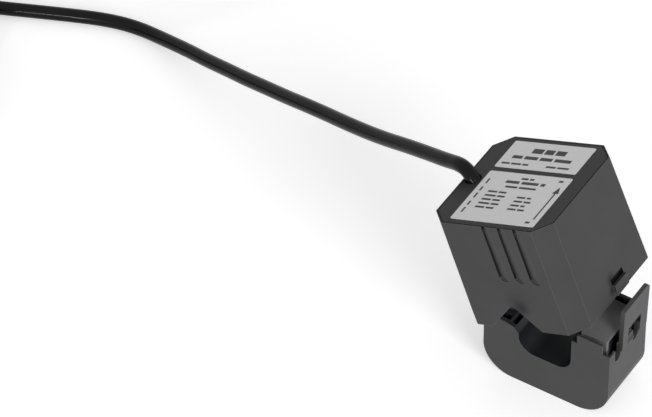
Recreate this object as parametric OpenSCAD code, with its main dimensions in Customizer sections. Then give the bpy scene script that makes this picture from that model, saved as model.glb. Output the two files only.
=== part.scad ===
// Split-core current transformer with a fixed lead, standing open on its lower jaw.
// Millimetres. X to the right, Y to the back, Z up. The origin is the middle of
// the jaw's flat underside, and the opened upper body leans towards -X.

/* [What to show] */
// Which piece to make

/* [Opening] */
// How far the upper body stands open, in degrees
open_angle = 21.65; // [0:0.05:60]
// Height of the hinge axis above the floor
hinge_z = 26.65; // [24:0.05:30]
// Distance of the hinge axis from the jaw's hinge-side face
hinge_inset = 1.8; // [1.6:0.1:4]
// Diameter of the hinge pin
pin_d = 1.5; // [1:0.1:2]
// Radius of the ears and the knuckle round the pin
ear_r = 1.8; // [1.5:0.1:2.4]
// Thickness of each hinge ear, front to back
ear_t = 2; // [1.2:0.1:4]
// Running clearance between the ears and the knuckle
ear_gap = 0.35; // [0.2:0.05:1]

/* [Lower jaw] */
// Width, side to side
jaw_w = 43.2; // [38:0.1:50]
// Depth, front to back
jaw_d = 21.9; // [18:0.1:30]
// Height of the walls at the latch side
jaw_h = 26.9; // [24:0.1:32]
// Height of the walls at the hinge side
hinge_side_h = 22.6; // [20:0.1:23]
// Wall thickness
jaw_wall = 1.5; // [1.2:0.1:2]
// Radius of the outer bottom corner at the hinge side
jaw_r_hinge = 10.2; // [8:0.1:11]
// Radius of the outer bottom corner at the latch side
jaw_r_latch = 10.6; // [8:0.1:11]
// Height of the lip that enters the upper body
lip_h = 3.4; // [2:0.1:4]
// Thickness of that lip
lip_t = 0.8; // [0.7:0.1:1.4]
// Gap between the lip and the pole cover
cover_gap = 1.8; // [0.5:0.1:2]
// Thickness of the walls at the top corners beside the latch tab
corner_wall = 0.7; // [0.5:0.1:1.2]

/* [Conductor window] */
// Width of the window
window_w = 18.1; // [15:0.1:19]
// Sideways offset of the window from the core's middle
window_x = 0.65; // [-1:0.05:1]
// Height of the window's floor
window_floor = 13.5; // [12.6:0.1:15]
// Floor corner radius at the hinge side
window_r_hinge = 5.6; // [3:0.1:7]
// Floor corner radius at the latch side
window_r_latch = 4.9; // [3:0.1:7]
// Thickness of the wall round the window
window_wall = 1.5; // [1:0.1:1.7]

/* [Latch] */
// Height of the latch tab's top above the floor
tab_top = 41; // [36:0.1:44]
// Width of the tab, front to back
tab_w = 14.6; // [12:0.1:16]
// Thickness of the tab
tab_t = 1.4; // [1.2:0.1:2]
// Outward lean of the tab, in degrees
tab_lean = 1.5; // [1:0.1:3]
// Width of the slots that make the tab springy
slot_w = 3.4; // [2:0.1:4]
// Height of the slots' round ends above the floor
slot_floor = 21.8; // [20:0.1:23]
// How far the jaw's latch side stands out past the upper body
latch_step = 1.08; // [0.8:0.02:1.3]
// Width of the catch on the upper body
catch_w = 6.6; // [5:0.1:7.5]
// Height of the catch
catch_h = 3.7; // [2:0.1:3.8]
// Height of the recess above the catch
recess_h = 1.8; // [1:0.1:4]
// Depth of that recess
recess_d = 0.95; // [0.4:0.05:0.95]
// How far the catch stands out
catch_out = 1.15; // [0.6:0.05:1.15]

/* [Upper body] */
// Width at the top, side to side
body_w = 42.7; // [40:0.1:48]
// Depth at the top, front to back
body_d = 42.5; // [38:0.1:50]
// Height, lid included
body_h = 37.6; // [34:0.1:48]
// How much each side spreads from top to bottom
draft_x = 0.37; // [0.1:0.01:0.5]
// How much the front and back spread from top to bottom
draft_y = 0.53; // [0.1:0.01:0.8]
// Length of the cut-off corners
corner = 5.15; // [3:0.05:7]
// Wall thickness
body_wall = 1.2; // [1:0.05:1.25]
// Floor thickness
floor_t = 1.5; // [1.2:0.1:2]
// Height of the upper body's underside above the floor when shut
parting_z = 27.3; // [27.1:0.05:28]
// Sideways place of its middle
body_x = -1.2; // [-1.4:0.05:-1]
// Offset from the jaw towards the back
body_y = 1.26; // [0:0.01:2]

/* [Window roof] */
// Height of the roof's peak above the underside
peak_h = 8.3; // [7:0.1:10]
// Sideways place of the peak from the upper body's middle
peak_x = -0.95; // [-2:0.05:1]
// Width of the roof to the hinge side of the peak
roof_left = 10; // [9:0.1:10.5]
// Width of the roof to the latch side of the peak
roof_right = 8.1; // [7:0.1:9]
// Roof wall thickness
roof_wall = 1.2; // [1:0.1:1.5]

/* [Grip flutes] */
// Number of flutes on the front
flute_count = 3; // [2:1:4]
// Distance between flutes
flute_pitch = 5.6; // [4:0.1:6]
// Length of a flute down from the lid
flute_len = 19.9; // [12:0.1:24]
// Depth of a flute at its steep side
flute_depth = 0.5; // [0.2:0.05:0.7]
// Place of the first flute from the upper body's hinge side
flute_x = 19.75; // [16:0.05:22]

/* [Lid] */
// Lid thickness
lid_t = 2.2; // [1.6:0.1:3]
// Width of the wall's rim that shows round the lid
rim_w = 0.3; // [0.25:0.05:0.5]
// Width of the seam round the lid
seam_w = 0.35; // [0.2:0.05:0.5]
// Depth of the seam
seam_d = 1; // [0.5:0.1:1.4]

/* [Labels] */
// Thickness of the labels
label_t = 0.12; // [0.08:0.02:0.3]
// Width of the name label
name_w = 29.4; // [20:0.1:31]
// Depth of the name label
name_d = 12.7; // [8:0.1:14]
// Width of the rating label
rating_w = 30; // [20:0.1:31]
// Depth of the rating label
rating_d = 23.3; // [16:0.1:25]
// Length of the direction arrow
arrow_len = 15.4; // [8:0.1:18]
// Length of its head
arrow_head = 3; // [1:0.1:5]
// Width of its line
arrow_line = 0.5; // [0.2:0.05:1]
// Distance of the arrow from the rating label's latch side
arrow_inset = 1.9; // [1.5:0.1:6]
// Distance of the arrow from the rating label's front
arrow_y = 3.4; // [1:0.1:6]
// Thickness of the print
print_t = 0.04; // [0.02:0.01:0.1]

/* [Cores and windings] */
// Width of each core leg
leg_w = 6.2; // [5:0.1:6.8]
// Thickness of the lower core's yoke
yoke_h = 7; // [5:0.1:7.4]
// Thickness of the upper core's yoke
top_yoke_h = 6.6; // [5:0.1:7]
// Depth of the core stack
core_d = 14; // [10:0.1:15]
// Distance between the core and the upper body's wall at the latch side
core_room = 1.72; // [1.6:0.02:2.2]
// Height of the lower core above the jaw's floor
core_lift = 1.7; // [1.2:0.1:2]
// Air gap between the two cores when shut
air_gap = 0.35; // [0.3:0.05:0.6]
// Thickness of the bobbin's walls
bobbin_t = 0.5; // [0.4:0.05:0.6]
// Thickness of the winding
wire_t = 0.6; // [0.3:0.05:0.7]
// Thickness of the winding in front of the leg and behind it
end_wire_t = 4.5; // [0.5:0.1:5]
// Thickness of the tape over the winding
wrap_t = 0.12; // [0.05:0.01:0.15]

/* [Lead] */
// Diameter of the lead
lead_d = 4.6; // [3.6:0.1:4.8]
// Distance of the lead's hole from the lid's hinge side
hole_inset = 3.2; // [3:0.1:4]
// Lean of the hole from the lid's square, in degrees
hole_lean = 29.4; // [0:0.1:40]
// Direction in which the hole leans, in degrees from +X
hole_turn = 163; // [150:1:180]
// Diameter of the two cores in the lead
wire_d = 1.7; // [1.2:0.1:1.9]
// Diameter of the thin wires from the clamp to the board
inner_wire_d = 1; // [0.6:0.1:1.2]
// Length of the stripped cores
strip_len = 22; // [12:1:26]
// Diameter of the ferrules
ferrule_d = 2.2; // [1.8:0.1:3]
// Length of the ferrules
ferrule_len = 8; // [6:0.5:12]
// Turns of the coil in each direction of its section
coil_rows = 4; // [2:1:5]
// Radius of the coil at the middle of its turns
coil_r = 27; // [20:0.5:40]
// Thickness of the coil's tie
tie_t = 0.8; // [0.4:0.1:1.5]
// Width of the coil's tie
tie_w = 4; // [2:0.5:8]

/* [Hidden] */
$fn = 48;
fit = 0.1;
flange_lip = 0.05;
pin_gap = 0.05;
step = 0.01;

// Jaw
body_right = body_x + body_w / 2 + draft_x;
body_left = body_x - body_w / 2 - draft_x;
jaw_right = body_right + latch_step;
jaw_left = jaw_right - jaw_w;
hinge_x = jaw_left + hinge_inset;
winding_room = fit + bobbin_t + wire_t + wrap_t + flange_lip + fit;
left_leg_x = max(jaw_left + jaw_wall + fit, body_left + body_wall + draft_x / 2 + winding_room);
right_leg_x = body_right - body_wall - core_room - leg_w;
core_x = (left_leg_x + right_leg_x + leg_w) / 2;
leg_gap = right_leg_x - left_leg_x - leg_w;
jaw_front = -jaw_d / 2;
jaw_back = jaw_d / 2;
win_left = core_x + window_x - window_w / 2;
win_right = core_x + window_x + window_w / 2;
cover_left = win_right + window_wall + 3 * fit;
cover_right = body_right - body_wall - 4 * fit;
core_bottom = jaw_wall + core_lift;
yoke_top = core_bottom + yoke_h;
core_r = jaw_r_hinge - jaw_wall - 0.4;
low_pole_z = hinge_side_h - 0.4;
low_corner = 2.7;
rib_t = 0.6;
rib_z = window_floor;
high_pole_z = jaw_h + 2.1;
cover_t = 0.6;
clip_t = 0.6;
cover_top = high_pole_z + cover_t;

// Latch
tab_front = -4.45;
tab_back = tab_front + tab_w;
tab_gap = 0.2;
tab_root_z = 24;
lug_y = core_d / 2 + 3 * fit;
catch_top = parting_z + catch_h + 0.35;
catch_y = 2.3;
tab_in = body_right + tab_gap;
eye_front = catch_y - catch_w / 2 - 0.4;
eye_w = catch_w + 0.9;
eye_z = parting_z + 0.1;
near_slot = tab_front - slot_w + 0.1;
far_slot = eye_front + eye_w - slot_w - 0.1;
hook_z = catch_top + 0.15;

// Upper body
ear_reach = ear_r + 4 * fit;
lid_room = 7.6;
bobbin_lift = 1.6;
floor_top = parting_z + floor_t;
lid_bottom = parting_z + body_h - lid_t;
body_top = parting_z + body_h;
peak = body_x + peak_x;
yoke_z = lid_bottom - lid_room - top_yoke_h;
bobbin_bottom = cover_top + bobbin_lift;
bobbin_top = yoke_z - 2 * fit;
board_z = yoke_z + top_yoke_h + clip_t;
hole_x = body_x - body_w / 2 + hole_inset;
hole_y = body_y;

// Lead: points on its middle line with the upper body open, from the lid to the coil
lead_route = [
    [-33.6, 1.2, 62.4], [-35.3, 1.8, 63.8], [-37.4, 2.5, 64.1], [-39.6, 3.3, 63.5],
    [-42, 4.3, 62.2], [-46, 5.6, 60.2], [-51.5, 7.8, 57.4], [-57, 9.8, 54.7], [-63, 12, 51.7],
    [-72, 15.2, 47], [-81, 18.5, 42.7], [-91, 22, 38.6], [-100, 25.5, 34.8], [-110, 29, 30.8],
    [-119, 32.3, 26.8], [-129, 36, 22.7], [-139, 39.5, 18.7], [-148, 43, 15.1], [-158, 46.5, 11.3],
    [-167, 49.8, 8.2], [-175, 52.2, 5.7], [-182, 54, 3.8], [-189, 55, 2.7], [-196, 54.6, 2.3],
    [-204, 52.4, 2.3], [-213, 48.8, 2.3], [-223, 44.4, 2.4], [-233, 39.8, 2.6], [-244, 34.8, 3],
    [-256, 29.4, 3.1]
];
// The same lead from its gripped end in the clamp up to the lid
lead_inside = [[-22.6, 0.8, 61.6], [-26.3, 0.8, 60.2], [-29.1, 0.9, 59.8], [-31.6, 1.1, 60.7]];
coil_at = [-254, -7.5];
coil_s = coil_rows * lead_d;
tail_r = 26;
end_x = -6;

module opened() {
    translate([hinge_x, 0, hinge_z]) rotate([0, -open_angle, 0]) translate([-hinge_x, 0, -hinge_z]) children();
}

// ---- flat shapes -------------------------------------------------------

// A quarter of material outside a round corner: r is the radius, q the quadrant's signs
module corner_cut(r, sx, sz) {
    difference() {
        translate([sx < 0 ? -step : -r, sz < 0 ? -step : -r]) square([r + step, r + step]);
        translate([sx < 0 ? r : -r, sz < 0 ? r : -r]) circle(r);
    }
}

// Stands a flat XZ outline up and gives it depth along Y
module deep(y0, y1) {
    translate([0, y1, 0]) rotate([90, 0, 0]) linear_extrude(y1 - y0) children();
}

module jaw_outline(inset) {
    difference() {
        polygon([
            [jaw_left + inset, inset], [jaw_right - inset, inset], [jaw_right - inset, jaw_h],
            [win_right - 2 * window_wall, jaw_h], [win_right - 2 * window_wall, hinge_side_h],
            [jaw_left + inset, hinge_side_h]
        ]);
        translate([jaw_left + inset, inset]) corner_cut(jaw_r_hinge - inset, -1, -1);
        translate([jaw_right - inset, inset]) mirror([1, 0]) corner_cut(jaw_r_latch - inset, -1, -1);
    }
}

// The conductor window, grown by g all round
module window_outline(g) {
    difference() {
        translate([win_left - g, window_floor - g]) square([window_w + 2 * g, jaw_h + lip_h]);
        translate([win_left - g, window_floor - g]) corner_cut(window_r_hinge + g, -1, -1);
        translate([win_right + g, window_floor - g]) mirror([1, 0]) corner_cut(window_r_latch + g, -1, -1);
    }
}

module hinge_side_slope() {
    polygon([
        [jaw_left - 1, hinge_side_h], [win_left - window_wall - 3.2, hinge_side_h],
        [win_left - window_wall, hinge_side_h - 1], [win_left + step, hinge_side_h - 2.9],
        [win_left + 2, hinge_side_h + 8], [jaw_left - 1, hinge_side_h + 8]
    ]);
}

module octagon(w, d, c) {
    polygon([
        [-w / 2 + c, -d / 2], [w / 2 - c, -d / 2], [w / 2, -d / 2 + c], [w / 2, d / 2 - c],
        [w / 2 - c, d / 2], [-w / 2 + c, d / 2], [-w / 2, d / 2 - c], [-w / 2, -d / 2 + c]
    ]);
}

// The upper body's tapered outside between two heights, moved in by inset
module body_block(z0, z1, inset) {
    c = corner - inset * 0.59;
    function spread(z) = (body_top - z) / body_h;
    hull() {
        for (z = [z0, z1])
            translate([body_x, body_y, z == z0 ? z0 : z1 - step]) linear_extrude(step)
                octagon(
                    body_w + 2 * (draft_x * spread(z) - inset), body_d + 2 * (draft_y * spread(z) - inset), c);
    }
}

module roof_outline(g) {
    polygon([
        [peak - roof_left - g, parting_z - 1], [peak - roof_left - g, parting_z],
        [peak - 0.6, parting_z + peak_h + g], [peak + 0.6, parting_z + peak_h + g],
        [peak + roof_right + g, parting_z], [peak + roof_right + g, parting_z - 1]
    ]);
}

// ---- lower jaw ---------------------------------------------------------

module hinge_ear(y0) {
    deep(y0, y0 + ear_t) difference() {
        union() {
            translate([hinge_x, hinge_z]) circle(ear_r);
            translate([hinge_x - ear_r, hinge_side_h - 6]) square([2 * ear_r, hinge_z - hinge_side_h + 6]);
        }
        translate([hinge_x, hinge_z]) circle(pin_d / 2);
    }
}

// Stands a flat YZ outline up and gives it depth along X
module wide(x0, x1) {
    translate([x0, 0, 0]) rotate([90, 0, 90]) linear_extrude(x1 - x0) children();
}

// A slot beside the tab, round at its lower end
module slot(y0) {
    wide(jaw_right - jaw_wall - 1, jaw_right + 4) translate([y0, slot_floor]) difference() {
        square([slot_w, jaw_h + 1 - slot_floor]);
        corner_cut(slot_w / 2 - 0.1, -1, -1);
        translate([slot_w, 0]) mirror([1, 0]) corner_cut(slot_w / 2 - 0.1, -1, -1);
    }
}

module tab_outline() {
    difference() {
        translate([tab_front, tab_root_z]) square([tab_w, tab_top - tab_root_z]);
        translate([tab_front, tab_top]) mirror([0, 1]) corner_cut(0.5, -1, -1);
        translate([tab_back, tab_top]) mirror([0, 1]) mirror([1, 0]) corner_cut(1.6, -1, -1);
        // opening for the catch
        translate([eye_front, eye_z]) square([eye_w, hook_z - eye_z]);
    }
}

module latch_tab() {
    difference() {
        translate([tab_in, 0, tab_root_z]) rotate([0, tab_lean, 0]) translate([-tab_in, 0, -tab_root_z])
            difference() {
                wide(tab_in, tab_in + tab_t) tab_outline();
                // channel that lets the catch pass
                translate([tab_in - 1, eye_front, eye_z]) cube([1.9, eye_w, catch_h + 5.2]);
            }
        // ramp below the opening
        deep(eye_front, far_slot + 0.1) polygon([
            [tab_in + tab_t + 1.2, tab_root_z + 0.4], [tab_in + tab_t, tab_root_z + 0.4],
            [tab_in - 0.2, eye_z + 0.4], [tab_in + tab_t + 1.2, eye_z + 0.4]]);
    }
}

module jaw_housing() color([0.29, 0.29, 0.29]) {
    difference() {
        union() {
            difference() {
                union() {
                    deep(jaw_front, jaw_back) jaw_outline(0);
                    for (y = [jaw_front, jaw_back - lip_t]) deep(y, y + lip_t)
                        translate([cover_left, jaw_h - 1]) square([cover_right - cover_left, lip_h + 1]);
                }
                // room for the core and its pads
                deep(jaw_front + jaw_wall, jaw_back - jaw_wall) difference() {
                    union() {
                        jaw_outline(jaw_wall);
                        translate([win_right + window_wall, jaw_h - 3])
                            square([jaw_right - jaw_wall - win_right - window_wall, 8]);
                        translate([jaw_left + jaw_wall, hinge_side_h - 3])
                            square([win_left - window_wall - jaw_left - jaw_wall, 8]);
                    }
                    window_outline(window_wall);
                }
                deep(jaw_front - 1, jaw_back + 1) window_outline(0);
                deep(jaw_front - 1, jaw_back + 1) hinge_side_slope();
                // low outer corners beside the lip
                for (y = [jaw_front - 1, jaw_back - low_corner])
                    translate([cover_right, y, jaw_h - 0.2]) cube([6, low_corner + 1, 6]);
            }
            latch_tab();
            // rib that keeps the core's left leg in place
            translate([left_leg_x + leg_w + fit, jaw_front + jaw_wall / 2, rib_z])
                cube([rib_t, jaw_d - jaw_wall, low_pole_z - rib_z]);
            for (y = [jaw_front, jaw_back - ear_t]) hinge_ear(y);
        }
        // pockets that thin the top corners beside the tab
        for (y = [[jaw_front + corner_wall, near_slot + 0.5], [tab_back - 2, jaw_back - corner_wall]])
            translate([cover_right, y[0], rib_z + 4])
                cube([jaw_right - corner_wall - cover_right, y[1] - y[0], 20]);
        slot(near_slot);
        slot(far_slot);
        // the hinge-side wall is lower between the ears
        translate([jaw_left - 1, jaw_front + ear_t, hinge_side_h - 0.2])
            cube([hinge_inset + ear_r + 1, jaw_d - 2 * ear_t, 8]);
    }
}

module lower_core() color([0.42, 0.42, 0.44]) {
    deep(-core_d / 2, core_d / 2) difference() {
        translate([left_leg_x, core_bottom]) square([right_leg_x + leg_w - left_leg_x, high_pole_z - core_bottom]);
        translate([left_leg_x + leg_w, yoke_top]) difference() {
            square([leg_gap, high_pole_z]);
            corner_cut(1.2, -1, -1);
            translate([leg_gap, 0]) mirror([1, 0]) corner_cut(1.2, -1, -1);
        }
        translate([left_leg_x - 1, low_pole_z]) square([leg_w + 2, high_pole_z]);
        translate([left_leg_x, core_bottom]) corner_cut(core_r, -1, -1);
        translate([right_leg_x + leg_w, core_bottom]) mirror([1, 0]) corner_cut(core_r, -1, -1);
    }
}

module core_spring() color([0.6, 0.6, 0.62]) {
    t = 0.4;
    half = core_lift - t;
    for (s = [-1, 1]) deep(-4, 4) polygon([
        [core_x + s * 9, jaw_wall], [core_x + s * 9, jaw_wall + t], [core_x + s * 6, jaw_wall + t],
        [core_x + s * 4, core_bottom], [core_x, core_bottom], [core_x, core_bottom - t],
        [core_x + s * 3.8, core_bottom - t], [core_x + s * 5.8, jaw_wall]
    ]);
}

module core_pad() color([0.12, 0.12, 0.13])
    translate([core_x - 6, -core_d / 2, yoke_top]) cube([10, core_d, window_floor - window_wall - yoke_top]);

module pole_cover() color([0.31, 0.31, 0.31]) {
    w = cover_right - cover_left;
    y1 = jaw_back - lip_t - cover_gap;
    skirt_h = 6 + high_pole_z - jaw_h;
    translate([cover_left, -y1, high_pole_z]) cube([w, 2 * y1, cover_t]);
    for (s = [-1, 1]) translate([cover_left, s > 0 ? core_d / 2 + fit : -y1, high_pole_z - skirt_h])
        cube([w, y1 - core_d / 2 - fit, skirt_h + step]);
}

module hinge_pin(side) color([0.7, 0.7, 0.72])
    translate([hinge_x, side * lug_y, hinge_z]) rotate([-side * 90, 0, 0])
        cylinder(d = pin_d, h = jaw_back - 2 * fit - lug_y);

module front_hinge_pin() hinge_pin(-1);
module rear_hinge_pin() hinge_pin(1);

// ---- upper body, drawn shut and then opened ----------------------------

module flutes() {
    for (i = [0 : flute_count - 1]) {
        x0 = body_x - body_w / 2 + flute_x + i * flute_pitch;
        y0 = body_y - body_d / 2;
        translate([x0, y0, body_top - flute_len]) {
            difference() {
                linear_extrude(flute_len + 1) polygon([
                    [0, -1], [flute_pitch * 0.6, -1], [flute_pitch * 0.6, -draft_y * 0.4], [0, flute_depth]]);
                translate([0, -2, 0]) rotate([-90, 0, 0]) linear_extrude(4) mirror([0, 1]) corner_cut(1.8, -1, -1);
            }
        }
    }
}

// The catch stands out of the right wall, flush with its lower edge
module catch_lug() {
    deep(catch_y - catch_w / 2, catch_y + catch_w / 2) polygon([
        [body_right - 0.9, catch_top - catch_h], [body_right + catch_out * 0.7, catch_top - catch_h],
        [body_right + catch_out - 0.04, catch_top], [body_right - 0.9, catch_top]]);
}

// The recess above the catch, with a ramp that runs out above it
module catch_recess() {
    deep(catch_y - catch_w / 2, catch_y + catch_w / 2) polygon([
        [body_right - recess_d, catch_top], [body_right + 1, catch_top], [body_right + 1, catch_top + recess_h],
        [body_right - 0.1, catch_top + recess_h], [body_right - recess_d, catch_top + recess_h / 2]
    ]);
}

// One of the two lugs that hang from the floor and turn on the pins
module hinge_lug(side) {
    deep(side > 0 ? lug_y : jaw_front + ear_t + ear_gap, side > 0 ? jaw_back - ear_t - ear_gap : -lug_y) {
        translate([hinge_x, hinge_z]) circle(ear_r);
        translate([hinge_x - ear_r, hinge_z]) square([2 * ear_r, floor_top - hinge_z]);
    }
}

module upper_housing() color([0.3, 0.3, 0.3]) opened() {
    difference() {
        union() {
            difference() {
                body_block(parting_z, body_top, 0);
                body_block(floor_top, body_top + 1, body_wall);
                body_block(lid_bottom, body_top + 2, rim_w);
            }
            intersection() {
                body_block(parting_z, body_top, 0.3);
                deep(body_y - body_d, body_y + body_d) roof_outline(roof_wall);
            }
            catch_lug();
            for (side = [-1, 1]) hinge_lug(side);
        }
        deep(body_y - body_d, body_y + body_d) roof_outline(0);
        flutes();
        // the two leg openings in the floor
        translate([left_leg_x - 3 * fit, -core_d / 2 - 3 * fit, parting_z - 1])
            cube([leg_w + 6 * fit, core_d + 6 * fit, floor_t + 2]);
        translate([cover_left - 4 * fit, jaw_front - 4 * fit, parting_z - 1])
            cube([cover_right - cover_left + 8 * fit, jaw_d + 8 * fit, floor_t + 2]);
        // slots that clear the jaw's ears
        for (y = [jaw_front, jaw_back - ear_t]) translate([body_left - 1, y - ear_gap, parting_z - 1])
            cube([ear_reach + hinge_x - body_left + 1, ear_t + 2 * ear_gap, ear_reach + hinge_z - parting_z + 1]);
        catch_recess();
        deep(jaw_front, jaw_back) translate([hinge_x, hinge_z]) circle(pin_d / 2 + pin_gap);
    }
}

// The lead's way through the lid
module lead_bore() {
    reach = lid_t + 2;
    translate([hole_x, hole_y, body_top]) rotate([0, hole_lean, hole_turn])
        translate([0, 0, -reach]) rotate(180) cylinder(d = lead_d + 5 * fit, h = 2 * reach);
}

module housing_lid() color([0.27, 0.27, 0.27]) difference() {
    opened() union() {
        body_block(lid_bottom, body_top - seam_d + step, rim_w + 0.05);
        body_block(body_top - seam_d, body_top, rim_w + seam_w);
    }
    opened() {
        lead_bore();
        for (s = [-1, 1]) translate([clamp_x + clamp_w / 2, hole_y + s * clamp_y, lid_bottom - 1])
            cylinder(d = screw_d, h = 1 + screw_bite);
    }
}

module label_blank(x, y, w, d) {
    r = 0.6;
    translate([x - w / 2, y - d / 2, body_top]) linear_extrude(label_t) difference() {
        square([w, d]);
        corner_cut(r, -1, -1);
        translate([w, 0]) mirror([1, 0]) corner_cut(r, -1, -1);
        translate([0, d]) mirror([0, 1]) corner_cut(r, -1, -1);
        translate([w, d]) mirror([0, 1]) mirror([1, 0]) corner_cut(r, -1, -1);
    }
}

label_seam = 2.05;
label_mid = 5.475;
name_x = body_x + 0.2;
name_y = body_y + label_mid + (label_seam + name_d) / 2;
rating_x = body_x + 0.55;
rating_y = body_y + label_mid - (label_seam + rating_d) / 2;
arrow_x = rating_x + rating_w / 2 - arrow_inset;

module name_label() color([0.93, 0.93, 0.93]) opened() label_blank(name_x, name_y, name_w, name_d);
module rating_label() color([0.93, 0.93, 0.93]) opened() label_blank(rating_x, rating_y, rating_w, rating_d);

// A line of print shown as plain bars; places and lengths are shares of the label's size
module bars(label, x, y, h, lengths, gap) {
    for (i = [0 : len(lengths) - 1]) {
        before = i == 0 ? 0 : [for (j = 0, s = lengths[0]; j < i; j = j + 1, s = s + lengths[j]) s][i - 1];
        translate([label[0] * (x + before + i * gap), label[1] * y, body_top + label_t])
            cube([label[0] * lengths[i], label[1] * h, print_t]);
    }
}

module name_print() color([0.2, 0.2, 0.2]) opened() translate([name_x - name_w / 2, name_y - name_d / 2, 0]) {
    label = [name_w, name_d];
    bars(label, 0.3, 0.6, 0.17, [0.13, 0.11, 0.12], 0.025);
    bars(label, 0.12, 0.36, 0.11, [0.12, 0.16, 0.15, 0.2], 0.03);
    bars(label, 0.05, 0.13, 0.06, [0.1, 0.12, 0.07], 0.02);
    bars(label, 0.6, 0.13, 0.06, [0.12, 0.14], 0.02);
}

module rating_print() color([0.25, 0.25, 0.25])
    opened() translate([rating_x - rating_w / 2, rating_y - rating_d / 2, 0]) {
        label = [rating_w, rating_d];
        column_y = 0.58;
        line_gap = 0.08;
        bars(label, 0.43, 0.88, 0.035, [0.08, 0.05], 0.02);
        bars(label, 0.28, 0.79, 0.05, [0.16, 0.2, 0.05], 0.03);
        bars(label, 0.32, 0.7, 0.035, [0.14, 0.2], 0.025);
        for (i = [0 : 4]) bars(label, 0.17, column_y - i * line_gap, 0.032, [0.11 + 0.02 * (i % 2), 0.09], 0.02);
        for (i = [0 : 3])
            bars(label, 0.55, column_y - (i + 0.8) * line_gap, 0.032, [0.1, 0.05 + 0.03 * (i % 2)], 0.02);
        for (i = [0 : 4]) bars(label, 0.06, 0.14 + i * 0.15, 0.1 - 0.02 * (i % 2), [0.02], 0);
        for (y = [0.06, 0.9]) bars(label, 0.87, y, 0.035, [0.05], 0);
    }

module direction_arrow() color([0.2, 0.2, 0.2])
    opened() translate([arrow_x, rating_y - rating_d / 2 + arrow_y, body_top + label_t])
        linear_extrude(print_t) polygon([
            [-arrow_line / 2, 0], [arrow_line / 2, 0], [arrow_line / 2, arrow_len - arrow_head],
            [1.1, arrow_len - arrow_head], [0, arrow_len], [-1.1, arrow_len - arrow_head],
            [-arrow_line / 2, arrow_len - arrow_head]
        ]);

module upper_core() color([0.42, 0.42, 0.44]) opened() deep(-core_d / 2, core_d / 2) difference() {
    translate([left_leg_x, low_pole_z + air_gap])
        square([right_leg_x + leg_w - left_leg_x, yoke_z + top_yoke_h - low_pole_z - air_gap]);
    translate([left_leg_x + leg_w, 0]) square([leg_gap, yoke_z]);
    translate([right_leg_x - 1, 0]) square([leg_w + 2, cover_top + air_gap]);
    for (s = [0, 1]) translate([s ? right_leg_x + leg_w : left_leg_x, yoke_z + top_yoke_h])
        mirror([0, 1]) mirror([s, 0]) corner_cut(3, -1, -1);
}

// A ring round a leg: gx and gy are its inner and outer distance from the bobbin's bore
module leg_ring(x, gx, gy, h) {
    w = leg_w + 2 * fit;
    d = core_d + 2 * fit;
    translate([x - fit, -d / 2, 0]) linear_extrude(h) difference() {
        translate([-gx[1], -gy[1]]) square([w + 2 * gx[1], d + 2 * gy[1]]);
        translate([-gx[0], -gy[0]]) square([w + 2 * gx[0], d + 2 * gy[0]]);
    }
}

module bobbin(x) {
    fx = bobbin_t + wire_t + wrap_t + flange_lip;
    fy = bobbin_t + end_wire_t + wrap_t + flange_lip;
    translate([0, 0, bobbin_bottom]) leg_ring(x, [0, bobbin_t], [0, bobbin_t], bobbin_top - bobbin_bottom);
    for (z = [bobbin_bottom, bobbin_top - bobbin_t]) translate([0, 0, z]) leg_ring(x, [0, fx], [0, fy], bobbin_t);
}

// A sleeve between the bobbin's flanges
module sleeve(x, inner, outer) {
    h = bobbin_top - bobbin_bottom - 2 * bobbin_t;
    translate([0, 0, bobbin_bottom + bobbin_t])
        leg_ring(x, [bobbin_t + inner[0], bobbin_t + outer[0]], [bobbin_t + inner[1], bobbin_t + outer[1]], h);
}

wound = [wire_t, end_wire_t];
taped = [wire_t + wrap_t, end_wire_t + wrap_t];

module left_bobbin() color([0.15, 0.15, 0.16]) opened() bobbin(left_leg_x);
module right_bobbin() color([0.15, 0.15, 0.16]) opened() bobbin(right_leg_x);
module left_winding() color([0.6, 0.3, 0.16]) opened() sleeve(left_leg_x, [0, 0], wound);
module right_winding() color([0.6, 0.3, 0.16]) opened() sleeve(right_leg_x, [0, 0], wound);
module left_wrap() color([0.85, 0.75, 0.3]) opened() sleeve(left_leg_x, wound, taped);
module right_wrap() color([0.85, 0.75, 0.3]) opened() sleeve(right_leg_x, wound, taped);

module core_clip() color([0.6, 0.6, 0.62]) opened() {
    y1 = core_d / 2 + clip_t;
    difference() {
        translate([core_x - 3, -y1, yoke_z]) cube([6, 2 * y1, top_yoke_h + clip_t]);
        translate([core_x - 4, -core_d / 2, yoke_z - 1]) cube([8, core_d, top_yoke_h + 1]);
    }
}

board_w = 17;
board_d = 16;
board_t = 1;
board_x = core_x + 4;
pin_spots = [[-6, 5], [-6, -5], [6, 0]];
post_d = 0.9;

module terminal_board() color([0.1, 0.32, 0.16]) opened() difference() {
    translate([board_x - board_w / 2, -board_d / 2, board_z]) cube([board_w, board_d, board_t]);
    for (p = pin_spots) translate([board_x + p[0], p[1], board_z - 1]) cylinder(d = post_d, h = 4);
}

// A solder pin that stands in its hole in the board
module board_pin(p) opened() translate([board_x + p[0], p[1], board_z]) {
    cylinder(d = post_d, h = 2.9);
    translate([0, 0, board_t]) cylinder(d = 1.8, h = 0.5);
}

module start_pin() color([0.8, 0.7, 0.4]) board_pin(pin_spots[0]);
module finish_pin() color([0.8, 0.7, 0.4]) board_pin(pin_spots[1]);
module bridge_pin() color([0.8, 0.7, 0.4]) board_pin(pin_spots[2]);

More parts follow.
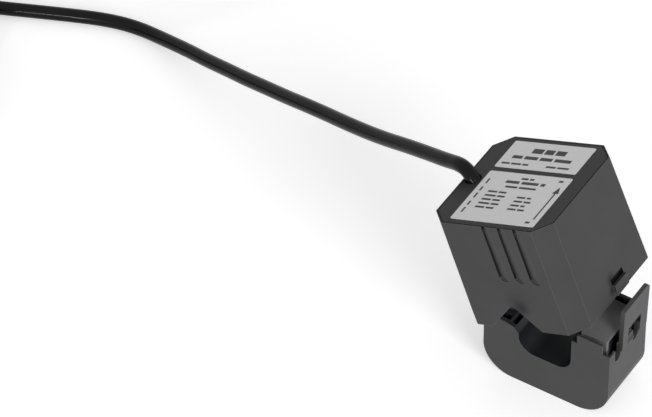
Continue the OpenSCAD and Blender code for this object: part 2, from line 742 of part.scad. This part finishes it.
// A cylinder with its two legs bent down to the board
module suppressor_diode() color([0.14, 0.14, 0.15]) opened() translate([board_x - 1, 0, board_z + board_t]) {
    translate([0, 2.5, 1.3]) rotate([90, 0, 0]) cylinder(d = 2.4, h = 5);
    for (s = [-1, 1]) {
        translate([-0.3, s > 0 ? 2.4 : -4.4, 1]) cube([0.6, 2, 0.6]);
        translate([-0.3, s > 0 ? 3.8 : -4.4, 0]) cube([0.6, 0.6, 1.2]);
    }
}

// A block under the lid with a bore that grips the lead
clamp_x = hole_x + 4.7;
clamp_w = 5.5;
clamp_h = 5.4;
clamp_y = 5.4;
screw_d = 1.4;
screw_bite = 0.7 * lid_t;
screw_head = 0.8;
grip_y = hole_y - 0.45;
grip_z = lid_bottom - 2.5;

module cable_clamp() color([0.2, 0.2, 0.2]) opened() difference() {
    translate([clamp_x, hole_y - 7.4, lid_bottom - clamp_h]) cube([clamp_w, 14.8, clamp_h]);
    for (s = [-1, 1]) translate([clamp_x + clamp_w / 2, hole_y + s * clamp_y, lid_bottom - clamp_h - 1])
        cylinder(d = screw_d, h = clamp_h + 2);
    translate([clamp_x - 1, grip_y, grip_z]) rotate([0, 90, 0]) cylinder(d = lead_d, h = clamp_w + 2);
}

// Goes up through the clamp into the lid, its head below
module clamp_screw(s) opened()
    translate([clamp_x + clamp_w / 2, hole_y + s * clamp_y, lid_bottom - clamp_h - screw_head]) {
        cylinder(d = 2 * screw_d, h = screw_head);
        cylinder(d = screw_d, h = clamp_h + screw_head + screw_bite);
    }
module front_clamp_screw() color([0.7, 0.7, 0.72]) clamp_screw(-1);
module rear_clamp_screw() color([0.7, 0.7, 0.72]) clamp_screw(1);

// ---- lead --------------------------------------------------------------

function unit(v) = v / norm(v);
function heading(p, i) = unit(p[min(i + 1, len(p) - 1)] - p[max(i - 1, 0)]);
function ring(p, i, r, n, ref) =
    let (side = unit(cross(heading(p, i), ref)), up = cross(side, heading(p, i)))
    [for (k = [0 : n - 1]) p[i] + r * (cos(360 * k / n) * side + sin(360 * k / n) * up)];

// A solid tube of n sides swept along the points; ref is a direction that it never takes
module swept(p, r, n, ref) {
    pts = [for (i = [0 : len(p) - 1]) each ring(p, i, r, n, ref)];
    sides = [for (i = [0 : len(p) - 2]) for (k = [0 : n - 1])
        [i * n + k, i * n + (k + 1) % n, (i + 1) * n + (k + 1) % n, (i + 1) * n + k]];
    caps = [[for (k = [n - 1 : -1 : 0]) k], [for (k = [0 : n - 1]) (len(p) - 1) * n + k]];
    polyhedron(pts, concat(sides, caps), convexity = 6);
}

module cable() color([0.11, 0.11, 0.12])
    swept(concat(lead_inside, lead_route), lead_d / 2, 10, [0, 0, 1]);

module cable_coil() color([0.11, 0.11, 0.12]) translate([coil_at[0], coil_at[1], tie_t])
    rotate_extrude($fn = 72) translate([coil_r - coil_s / 2, 0]) difference() {
        square(coil_s);
        for (s = [0, 1], t = [0, 1]) translate([s * coil_s, t * coil_s])
            mirror([s, 0]) mirror([0, t]) corner_cut(lead_d / 2, -1, -1);
    }

module coil_tie() color([0.15, 0.15, 0.16]) translate([coil_at[0] - coil_r, coil_at[1], 0]) difference() {
    w = coil_s + 4 * fit;
    translate([-coil_s / 2 - tie_t - 2 * fit, -tie_w / 2, 0]) cube([w + 2 * tie_t, tie_w, coil_s + 2 * tie_t]);
    translate([-coil_s / 2 - 2 * fit, -tie_w / 2 - 1, tie_t]) cube([w, tie_w + 2, coil_s]);
}

// Puts what lies on the coil, such as its free end, along a chord of its top
module on_coil() translate([coil_at[0], coil_at[1] - tail_r, tie_t + coil_s]) children();

// A round piece that lies there along X from x on: side is -1 or 1 for a core, 0 for the lead itself
module lying(x, side, d, h, z)
    on_coil() translate([x, side * (ferrule_d / 2 + fit), z]) rotate([0, 90, 0]) cylinder(d = d, h = h);

module cable_end() color([0.11, 0.11, 0.12]) lying(end_x - 14, 0, lead_d, 14, lead_d / 2);
module free_wire(side) lying(end_x, side, wire_d, strip_len - 4, ferrule_d / 2);

module start_lead() color([0.75, 0.75, 0.75]) free_wire(-1);
module finish_lead() color([0.35, 0.2, 0.12]) free_wire(1);

// A crimped ferrule at the end of each core
module ferrule(side) lying(end_x + strip_len - 4, side, ferrule_d, ferrule_len, ferrule_d / 2);

module start_ferrule() color([0.8, 0.8, 0.8]) ferrule(-1);
module finish_ferrule() color([0.8, 0.8, 0.8]) ferrule(1);

// The lead's two cores inside the upper body, from the clamp to the board's pins
module inner_wire(side, pin) opened() swept([
    [clamp_x + clamp_w - 0.2, grip_y + side * 0.9, grip_z],
    [clamp_x + clamp_w + 2, grip_y + side * 1.1, grip_z],
    [board_x + pin[0] - 1.8, grip_y + (side * 1.1 + pin[1]) / 2, grip_z - 0.1],
    [board_x + pin[0] - 0.5, pin[1] - side * 0.3, grip_z - 0.5],
    [board_x + pin[0], pin[1], grip_z - 1.2], [board_x + pin[0], pin[1], board_z + 2.8]
], inner_wire_d / 2, 8, [0, 1, 0]);

module start_wire() color([0.75, 0.75, 0.75]) inner_wire(1, pin_spots[0]);
module finish_wire() color([0.35, 0.2, 0.12]) inner_wire(-1, pin_spots[1]);

jaw_housing();
lower_core();
core_spring();
core_pad();
pole_cover();
front_hinge_pin();
rear_hinge_pin();
upper_housing();
housing_lid();
name_label();
name_print();
rating_label();
rating_print();
direction_arrow();
upper_core();
core_clip();
left_bobbin();
right_bobbin();
left_winding();
right_winding();
left_wrap();
right_wrap();
terminal_board();
start_pin();
finish_pin();
bridge_pin();
suppressor_diode();
cable_clamp();
front_clamp_screw();
rear_clamp_screw();
start_wire();
finish_wire();
cable();
cable_coil();
cable_end();
coil_tie();
start_lead();
finish_lead();
start_ferrule();
finish_ferrule();
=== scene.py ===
# Split-core current transformer, opened on its hinge: camera, light, lead, finishes.
import math

import bpy
from mathutils import Matrix, Vector


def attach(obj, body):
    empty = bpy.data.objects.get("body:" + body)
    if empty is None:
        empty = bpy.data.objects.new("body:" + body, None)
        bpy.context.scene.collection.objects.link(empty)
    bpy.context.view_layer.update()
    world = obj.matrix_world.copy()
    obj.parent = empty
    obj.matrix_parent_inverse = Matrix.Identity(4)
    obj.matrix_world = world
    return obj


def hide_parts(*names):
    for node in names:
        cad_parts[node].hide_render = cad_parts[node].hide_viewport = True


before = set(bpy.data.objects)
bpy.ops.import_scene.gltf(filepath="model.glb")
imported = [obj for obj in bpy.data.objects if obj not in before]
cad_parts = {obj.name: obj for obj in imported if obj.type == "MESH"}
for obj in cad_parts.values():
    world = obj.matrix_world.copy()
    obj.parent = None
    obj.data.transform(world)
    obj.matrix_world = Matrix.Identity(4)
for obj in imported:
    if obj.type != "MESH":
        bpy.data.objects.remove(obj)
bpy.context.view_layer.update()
mm = 0.001
print("model loaded:", len(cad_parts), "nodes")

cameraSettings = {
    "eye": (486.1 * mm, -890.3 * mm, 1090.2 * mm),
    "back": (0.3794, -0.5931, 0.7101),  # from the object to the camera
    "azimuth": 32.61,  # degrees, the way its right side points
    "roll": -0.51,
    "lens": 272.15,
    "sensor": 36.0,
    "shift": (-0.00376, 0.0),
    "clip": (0.05, 20.0),
}


def makeCamera(settings):
    azimuth = math.radians(settings["azimuth"])
    back = Vector(settings["back"]).normalized()
    side = Vector((math.cos(azimuth), math.sin(azimuth), 0.0))
    up = back.cross(side)
    turn = Matrix((side, up, back)).transposed().to_4x4()
    camera = bpy.data.objects.new("camera", bpy.data.cameras.new("camera"))
    bpy.context.scene.collection.objects.link(camera)
    roll = Matrix.Rotation(math.radians(settings["roll"]), 4, "Z")
    camera.matrix_world = Matrix.Translation(settings["eye"]) @ turn @ roll
    camera.data.sensor_width = settings["sensor"]
    camera.data.lens = settings["lens"]
    camera.data.shift_x, camera.data.shift_y = settings["shift"]
    camera.data.clip_start, camera.data.clip_end = settings["clip"]
    bpy.context.scene.camera = camera


makeCamera(cameraSettings)
print("camera placed")


def newMaterial(name):
    material = bpy.data.materials.new(name)
    material.use_nodes = True
    tree = material.node_tree
    return material, tree.nodes, tree.links, tree.nodes["Principled BSDF"]


def dress(names, material):
    for name in names:
        piece = bpy.data.objects[name]
        piece.data.materials.clear()
        piece.data.materials.append(material)


def objectCoords(nodes):
    return nodes.new("ShaderNodeTexCoord").outputs["Object"]


def noise(nodes, links, vector, scale, detail=3.0, rough=0.5):
    node = nodes.new("ShaderNodeTexNoise")
    node.inputs["Scale"].default_value = scale
    node.inputs["Detail"].default_value = detail
    node.inputs["Roughness"].default_value = rough
    links.new(vector, node.inputs["Vector"])
    return node.outputs["Fac"]


def remap(nodes, links, value, low, high, fromLow=0.0, fromHigh=1.0):
    node = nodes.new("ShaderNodeMapRange")
    node.inputs["From Min"].default_value = fromLow
    node.inputs["From Max"].default_value = fromHigh
    node.inputs["To Min"].default_value = low
    node.inputs["To Max"].default_value = high
    links.new(value, node.inputs["Value"])
    return node.outputs["Result"]


# Either colour may be three numbers or a socket
def mixColours(nodes, links, factor, first, second, blend="MIX"):
    node = nodes.new("ShaderNodeMix")
    node.data_type = "RGBA"
    node.blend_type = blend
    links.new(factor, node.inputs["Factor"])
    for socket, colour in (("A", first), ("B", second)):
        if isinstance(colour, bpy.types.NodeSocket):
            links.new(colour, node.inputs[socket])
        else:
            node.inputs[socket].default_value = (*colour, 1)
    return node.outputs["Result"]


def mathNode(nodes, links, operation, first, second):
    node = nodes.new("ShaderNodeMath")
    node.operation = operation
    links.new(first, node.inputs[0])
    links.new(second, node.inputs[1])
    return node.outputs["Value"]


def bumpNode(nodes, links, height, strength, distance):
    bump = nodes.new("ShaderNodeBump")
    bump.inputs["Strength"].default_value = strength
    bump.inputs["Distance"].default_value = distance
    links.new(height, bump.inputs["Height"])
    return bump


# 1 inside a box given in mm, running out to 0 over the soft distance
def boxMask(nodes, links, vector, low, high, soft=0.05):
    parts = nodes.new("ShaderNodeSeparateXYZ")
    links.new(vector, parts.inputs["Vector"])
    mask = None
    for axis, bottom, top in zip("XYZ", low, high):
        place = parts.outputs[axis]
        rise = remap(nodes, links, place, 0.0, 1.0, (bottom - soft) * mm, bottom * mm)
        fall = remap(nodes, links, place, 1.0, 0.0, top * mm, (top + soft) * mm)
        slab = mathNode(nodes, links, "MULTIPLY", rise, fall)
        mask = slab if mask is None else mathNode(nodes, links, "MULTIPLY", mask, slab)
    return mask


# 1 at a point given in mm, running out to 0 at the radius
def spotMask(nodes, links, vector, centre, radius):
    distance = nodes.new("ShaderNodeVectorMath")
    distance.operation = "DISTANCE"
    links.new(vector, distance.inputs[0])
    distance.inputs[1].default_value = [c * mm for c in centre]
    mask = remap(nodes, links, distance.outputs["Value"], 1.0, 0.0, 0.0, radius * mm)
    mask.node.interpolation_type = "SMOOTHSTEP"
    return mask


# Boxes of painted shade where light hardly reaches, and painted soft round shadows; places in mm
plasticSettings = {
    "jaw": {
        "colour": 0.056, "rough": 0.45, "grain": 0.05, "edge": 0.16, "paintedGlint": 3.0,
        "shut": False,
        "paintedShadeBoxes": [
            # painted shade in the window, the slope beside it, the latch-side pole and the tab's
            # opening
            {"low": (-9.7, -10.85, 13.4), "high": (8.6, 10.85, 30), "share": (0.2, 0.23, 0.28)},
            {"low": (-14.3, -10.8, 19), "high": (-9.75, 10.8, 22.7), "share": (0.55, 0.56, 0.6)},
            {"low": (8.4, -10.2, 14), "high": (19.2, 10.2, 30.2), "share": (0.25, 0.25, 0.27)},
            {"low": (20.4, -1.35, 27.4), "high": (22.0, 6.1, 31.6), "share": (0.15, 0.15, 0.17)},
        ],
        "paintedShadows": [],
    },
    "body": {
        "colour": 0.049, "rough": 0.47, "grain": 0.06, "edge": 0.16, "paintedGlint": 3.4,
        "shut": True,
        "paintedShadeBoxes": [
            # painted shade in the recess over the catch, then in the inside in two boxes
            {"low": (17, -1.1, 31.2), "high": (20.45, 5.7, 33.4), "share": (0.08, 0.08, 0.1)},
            {"low": (-15, -19.2, 24), "high": (13, 21.6, 62.6), "share": (0.3, 0.3, 0.3)},
            {"low": (-21, -14, 24), "high": (19.1, 16, 62.6), "share": (0.3, 0.3, 0.3)},
        ] + [
            {"low": (steep, -21, 46.5), "high": (steep + 0.32, -19, 66), "share": (0.2, 0.2, 0.2)}
            for steep in (-2.82, 2.78, 8.38)  # painted shade on the steep side of each flute
        ],
        "paintedShadows": [
            # painted shadows, two over the roof's peak, two beside the catch
            {"at": (1.3, -20.4, 35.4), "radius": 3.4, "share": 0.2},
            {"at": (0.8, -20.4, 37.0), "radius": 6.0, "share": 0.5},
            {"at": (20.5, -0.6, 33.6), "radius": 3.0, "share": 0.2},
            {"at": (20.6, -2.0, 30.0), "radius": 2.2, "share": 0.35},
        ],
    },
    "lid": {
        "colour": 0.026, "rough": 0.5, "grain": 0.05, "edge": 0.12, "paintedGlint": 2.2,
        "shut": True, "paintedShadeBoxes": [], "paintedShadows": [],
    },
    "poleCover": {
        "colour": 0.22, "rough": 0.5, "grain": 0.04, "edge": 0.12, "paintedGlint": 1.3,
        "shut": False, "paintedShadeBoxes": [],
        # painted shadow of the housing on the cover's far half
        "paintedShadows": [{"at": (15, 8, 29.6), "radius": 7, "share": 0.35}],
    },
    "bobbin": {
        "colour": 0.012, "rough": 0.5, "grain": 0.02, "edge": 0.1, "paintedGlint": 1.2,
        "shut": True, "paintedShadeBoxes": [], "paintedShadows": [],
    },
}
opening = {"angle": 21.65, "hinge": (-19.8, 0, 26.65)}


# Object coordinates turned back to the shut body, whose walls stand square
def shutCoords(nodes, links):
    angle = math.radians(opening["angle"])
    hinge = Vector(opening["hinge"]) * mm
    mapping = nodes.new("ShaderNodeMapping")
    mapping.inputs["Rotation"].default_value = (0, angle, 0)
    mapping.inputs["Location"].default_value = hinge - Matrix.Rotation(angle, 3, "Y") @ hinge
    links.new(objectCoords(nodes), mapping.inputs["Vector"])
    return mapping.outputs["Vector"]


# Where an edge turns: the rounded normal against the flat one
def edgeMask(nodes, links, bevel):
    flat = nodes.new("ShaderNodeNewGeometry")
    product = nodes.new("ShaderNodeVectorMath")
    product.operation = "DOT_PRODUCT"
    links.new(bevel.outputs["Normal"], product.inputs[0])
    links.new(flat.outputs["True Normal"], product.inputs[1])
    return remap(nodes, links, product.outputs["Value"], 1.0, 0.0, 0.93, 0.998)


def mouldedPlastic(name, settings):
    material, nodes, links, shader = newMaterial(name)
    vector = shutCoords(nodes, links) if settings["shut"] else objectCoords(nodes)
    grey, rough = settings["colour"], settings["rough"]
    bevel = nodes.new("ShaderNodeBevel")
    bevel.samples = 6
    bevel.inputs["Radius"].default_value = settings["edge"] * mm
    mottle = remap(nodes, links, noise(nodes, links, vector, 60.0, 2.0), 0, 1, 0.35, 0.65)
    low, high = grey * 0.94, grey * 1.06
    colour = mixColours(nodes, links, mottle, (low, low, low * 1.01), (high, high, high * 1.01))
    paintedEdgeHighlight = [grey * settings["paintedGlint"]] * 3  # painted highlight along the edges, lighter than the plastic
    look = mixColours(nodes, links, edgeMask(nodes, links, bevel), colour, paintedEdgeHighlight)
    # painted shade in boxes, then painted round shadows, multiplied into the colour
    for shadeBox in settings["paintedShadeBoxes"]:
        mask = boxMask(nodes, links, vector, shadeBox["low"], shadeBox["high"])
        look = mixColours(nodes, links, mask, look, shadeBox["share"], "MULTIPLY")
    for paintedShadow in settings["paintedShadows"]:
        mask = spotMask(nodes, links, vector, paintedShadow["at"], paintedShadow["radius"])
        look = mixColours(nodes, links, mask, look, [paintedShadow["share"]] * 3, "MULTIPLY")
    links.new(look, shader.inputs["Base Color"])
    smear = noise(nodes, links, vector, 140.0, 3.0)
    links.new(remap(nodes, links, smear, rough - 0.05, rough + 0.06), shader.inputs["Roughness"])
    shader.inputs["Specular IOR Level"].default_value = 0.22  # matt, the white room hardly shows
    grain = noise(nodes, links, vector, 5200.0, 2.0)  # spark-eroded mould grain
    bump = bumpNode(nodes, links, grain, settings["grain"], 0.08 * mm)
    links.new(bevel.outputs["Normal"], bump.inputs["Normal"])
    links.new(bump.outputs["Normal"], shader.inputs["Normal"])
    return material


leadSettings = {
    "diameter": 4.6 * mm,
    "length": 3.0,
    "inside": [(-22.6, 0.8, 61.6), (-26.3, 0.8, 60.2), (-29.1, 0.9, 59.8), (-31.6, 1.1, 60.7)],
    "route": [
        (-33.6, 1.2, 62.4), (-35.3, 1.8, 63.8), (-37.4, 2.5, 64.1), (-39.6, 3.3, 63.5),
        (-42, 4.3, 62.2), (-46, 5.6, 60.2), (-51.5, 7.8, 57.4), (-57, 9.8, 54.7),
        (-63, 12, 51.7), (-72, 15.2, 47), (-81, 18.5, 42.7), (-91, 22, 38.6),
        (-100, 25.5, 34.8), (-110, 29, 30.8), (-119, 32.3, 26.8), (-129, 36, 22.7),
        (-139, 39.5, 18.7), (-148, 43, 15.1), (-158, 46.5, 11.3), (-167, 49.8, 8.2),
        (-175, 52.2, 5.7), (-182, 54, 3.8), (-189, 55, 2.7), (-196, 54.6, 2.3),
        (-204, 52.4, 2.3), (-213, 48.8, 2.3), (-223, 44.4, 2.4), (-233, 39.8, 2.6),
        (-244, 34.8, 3), (-256, 29.4, 3.1),
    ],
    "coilCentre": (-254 * mm, -7.5 * mm),
    "coilRadius": 27 * mm,
    "coilRows": 4,
    "coilBase": 0.8 * mm,  # the tie's thickness under the coil
    "coilStart": 0.12,  # radians past the end of the route
    "climb": 0.25,  # share of a turn in which it passes to the next
    "pointsPerTurn": 24,
    "roundness": 5,
    "colour": (0.005, 0.0052, 0.0058),
    "rough": (0.17, 0.23),
    "specular": 0.13,
}


def coilPoints(settings):
    diameter, climb = settings["diameter"], settings["climb"]
    centre = Vector((*settings["coilCentre"], 0))
    rows = settings["coilRows"]
    perTurn = settings["pointsPerTurn"]
    outer = settings["coilRadius"] + (rows - 1) / 2 * diameter
    places = []  # radius and height of each turn, wound inwards and outwards by layers
    for layer in range(rows):
        height = settings["coilBase"] + (layer + 0.5) * diameter
        columns = range(rows) if layer % 2 == 0 else reversed(range(rows))
        places += [(outer - column * diameter, height) for column in columns]
    last = Vector(settings["route"][-1]) * mm - centre
    start = math.atan2(last.y, last.x) + settings["coilStart"]
    points = []
    for step in range(len(places) * perTurn):
        turn, part = divmod(step, perTurn)
        radius, height = places[turn]
        share = max(0.0, (part / perTurn - 1 + climb) / climb)
        if turn + 1 < len(places):
            ease = share * share * (3 - 2 * share)
            nextRadius, nextHeight = places[turn + 1]
            radius += (nextRadius - radius) * ease
            height += (nextHeight - height) * ease
        angle = start + 2 * math.pi * step / perTurn
        points.append(centre + Vector((math.cos(angle) * radius, math.sin(angle) * radius, height)))
    return points


def sweptTube(name, points, radius, roundness):
    curve = bpy.data.curves.new(name, "CURVE")
    curve.dimensions = "3D"
    curve.bevel_depth = 1.0  # the points' own radius sets the thickness, and keeps the box tight
    curve.bevel_resolution = roundness
    curve.use_fill_caps = True
    spline = curve.splines.new("NURBS")
    spline.points.add(len(points) - 1)
    for point, place in zip(spline.points, points):
        point.co = (*place, 1)
        point.radius = radius
    spline.use_endpoint_u = True
    spline.order_u = 3
    spline.resolution_u = 4
    piece = bpy.data.objects.new(name, curve)
    bpy.context.scene.collection.objects.link(piece)
    return piece


def makeLead(settings):
    inside = [Vector(place) * mm for place in settings["inside"]]
    route = [Vector(place) * mm for place in settings["route"]]
    points = inside + route + coilPoints(settings)
    lead = sweptTube("lead", points, settings["diameter"] / 2, settings["roundness"])
    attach(lead, "upper_body")
    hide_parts("cable", "cable_coil", "cable_end")
    return lead


def jacketMaterial(name, settings):
    material, nodes, links, shader = newMaterial(name)
    vector = objectCoords(nodes)
    smear = noise(nodes, links, vector, 180.0, 3.0)
    links.new(remap(nodes, links, smear, *settings["rough"]), shader.inputs["Roughness"])
    shader.inputs["Base Color"].default_value = (*settings["colour"], 1)
    shader.inputs["Specular IOR Level"].default_value = settings["specular"]
    waves = noise(nodes, links, vector, 260.0, 1.0)  # the jacket isn't quite even
    bump = bumpNode(nodes, links, waves, 0.15, 0.2 * mm)
    links.new(bump.outputs["Normal"], shader.inputs["Normal"])
    return material


lead = makeLead(leadSettings)
lead.data.materials.append(jacketMaterial("leadJacket", leadSettings))
print("lead laid and coiled")

roomSettings = {
    "floorSize": 2.4,
    "floorColour": 0.8,
    "floorLift": 0.42,  # what the camera sees on top, so that the open floor is white
    "worldStrength": 0.43,
    "aim": (0, 0, 0.03),
    "lamps": {
        "key": {"place": (2.1, -1.1, 1.1), "energy": 34.0, "size": 1.1},
        "front": {"place": (0.3, -2.3, 0.55), "energy": 10.0, "size": 0.16},
    },
}


# 1 for a ray from the camera, a reflection or glass, 0 for the light on the object
def seenDirectly(nodes, links):
    path = nodes.new("ShaderNodeLightPath")
    seen = path.outputs["Is Camera Ray"]
    for ray in ("Is Glossy Ray", "Is Transmission Ray"):
        seen = mathNode(nodes, links, "MAXIMUM", seen, path.outputs[ray])
    return seen


def makeFloor(settings):
    bpy.ops.mesh.primitive_plane_add(size=settings["floorSize"], location=(0, 0, 0))
    floor = bpy.context.object
    floor.name = "floor"
    material, nodes, links, shader = newMaterial("paleFloor")
    shader.inputs["Roughness"].default_value = 0.9
    shader.inputs["Specular IOR Level"].default_value = 0.1
    shader.inputs["Emission Color"].default_value = (1, 1, 1, 1)
    seen = seenDirectly(nodes, links)
    lift = remap(nodes, links, seen, 0.0, settings["floorLift"])
    links.new(lift, shader.inputs["Emission Strength"])
    pale = mixColours(nodes, links, seen, [settings["floorColour"]] * 3, (1, 1, 1))
    links.new(pale, shader.inputs["Base Color"])
    floor.data.materials.append(material)


def makeWorld(settings):
    world = bpy.data.worlds.new("studio")
    bpy.context.scene.world = world
    world.use_nodes = True
    nodes, links = world.node_tree.nodes, world.node_tree.links
    background = nodes["Background"]
    background.inputs["Color"].default_value = (1, 1, 1, 1)
    seen = seenDirectly(nodes, links)
    strength = remap(nodes, links, seen, settings["worldStrength"], 1.0)
    links.new(strength, background.inputs["Strength"])


def areaLight(name, settings, aim):
    light = bpy.data.objects.new(name, bpy.data.lights.new(name, "AREA"))
    light.data.energy = settings["energy"]
    light.data.size = settings["size"]
    light.location = settings["place"]
    towards = Vector(aim) - Vector(settings["place"])
    light.rotation_euler = towards.to_track_quat("-Z", "Y").to_euler()
    bpy.context.scene.collection.objects.link(light)


makeFloor(roomSettings)
makeWorld(roomSettings)
for lamp, lampSettings in roomSettings["lamps"].items():
    areaLight(lamp, lampSettings, roomSettings["aim"])
bpy.context.scene.view_settings.view_transform = "Standard"
print("floor and lights placed")

mouldedPieces = {
    "jaw": ["jaw_housing"],
    "body": ["upper_housing"],
    "lid": ["housing_lid"],
    "poleCover": ["pole_cover"],
    "bobbin": ["left_bobbin", "right_bobbin", "cable_clamp", "suppressor_diode", "coil_tie"],
}
for plastic, names in mouldedPieces.items():
    dress(names, mouldedPlastic(plastic + "Plastic", plasticSettings[plastic]))
print("plastics applied")

finishSettings = {
    "coreSteel": {
        "colour": (0.05, 0.053, 0.065), "rough": 0.35, "metallic": 0.3,
        "pieces": ["lower_core", "upper_core"],
    },
    "springSteel": {
        "colour": (0.62, 0.62, 0.64), "rough": 0.25, "metallic": 1.0,
        "pieces": ["core_spring", "core_clip", "front_hinge_pin", "rear_hinge_pin",
                   "front_clamp_screw", "rear_clamp_screw"],
    },
    "padRubber": {"colour": (0.02, 0.02, 0.02), "rough": 0.8, "pieces": ["core_pad"]},
    "labelFilm": {
        "colour": (0.95, 0.95, 0.95), "rough": 0.55, "grainScale": 3000.0, "grain": 0.03,
        "pieces": ["name_label", "rating_label"],
    },
    "printInk": {
        "colour": (0.03, 0.03, 0.032), "rough": 0.6,
        "pieces": ["name_print", "rating_print", "direction_arrow"],
    },
    "copperWire": {
        "colour": (0.55, 0.23, 0.1), "rough": 0.3, "metallic": 0.9,
        "pieces": ["left_winding", "right_winding"],
    },
    "wrapTape": {
        "colour": (0.018, 0.018, 0.02), "rough": 0.3,
        "pieces": ["left_wrap", "right_wrap"],
    },
    "boardLaminate": {"colour": (0.03, 0.15, 0.06), "rough": 0.4, "pieces": ["terminal_board"]},
    "pinBrass": {
        "colour": (0.75, 0.58, 0.28), "rough": 0.25, "metallic": 1.0,
        "pieces": ["start_pin", "finish_pin", "bridge_pin"],
    },
    "startInsulation": {
        "colour": (0.75, 0.75, 0.75), "rough": 0.35,
        "pieces": ["start_wire", "start_lead", "start_ferrule"],
    },
    "finishInsulation": {
        "colour": (0.13, 0.06, 0.035), "rough": 0.35,
        "pieces": ["finish_wire", "finish_lead", "finish_ferrule"],
    },
}


def plainMaterial(name, settings):
    material, nodes, links, shader = newMaterial(name)
    colour = settings["colour"]
    speckle = noise(nodes, links, objectCoords(nodes), settings.get("grainScale", 900.0))
    speckle = remap(nodes, links, speckle, 0, 1, 0.3, 0.7)
    mottled = mixColours(nodes, links, speckle, [c * 0.9 for c in colour], colour)
    links.new(mottled, shader.inputs["Base Color"])
    shader.inputs["Roughness"].default_value = settings["rough"]
    shader.inputs["Metallic"].default_value = settings.get("metallic", 0.0)
    bump = bumpNode(nodes, links, speckle, settings.get("grain", 0.1), 0.05 * mm)
    links.new(bump.outputs["Normal"], shader.inputs["Normal"])
    return material


for look, settings in finishSettings.items():
    dress(settings["pieces"], plainMaterial(look, settings))
print("finishes applied")
